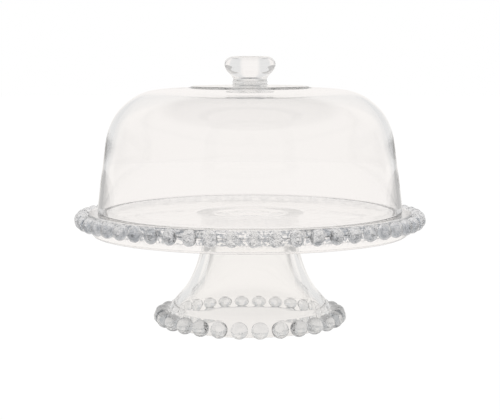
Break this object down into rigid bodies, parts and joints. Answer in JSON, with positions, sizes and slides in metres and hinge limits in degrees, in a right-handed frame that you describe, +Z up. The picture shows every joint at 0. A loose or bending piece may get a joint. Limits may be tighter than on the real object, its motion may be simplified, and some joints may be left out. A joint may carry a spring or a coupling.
{
  "type": "cake stand dome",
  "caption": "Footed clear glass cake stand with a beaded plate rim and foot rim, and a loose clear glass dome lid with a mushroom knob.",
  "frame": {"origin": "centre of the foot's underside, on the surface the stand rests on", "axes": "+Z up along the axis that the stand and the dome share; +X and +Y along the table, and the stand looks the same from every side"},
  "size_m": [0.2898, 0.29, 0.2219],
  "materials": {
    "pressed_glass": "clear polished pressed glass",
    "dome_glass": "clear polished blown glass",
    "knob_glass": "clear polished solid glass"
  },
  "bodies": {
    "stand": {"cake_plate": "pressed_glass", "plate_rim_beads": "pressed_glass", "pedestal_foot": "pressed_glass", "foot_rim_beads": "pressed_glass"},
    "lid": {"dome_shell": "dome_glass", "dome_knob": "knob_glass"}
  },
  "joints": [
    {"name": "lid_lift", "type": "slide", "parent": "stand", "child": "lid", "axis": [0, 0, 1], "range_m": [0, 0.15]}
  ]
}
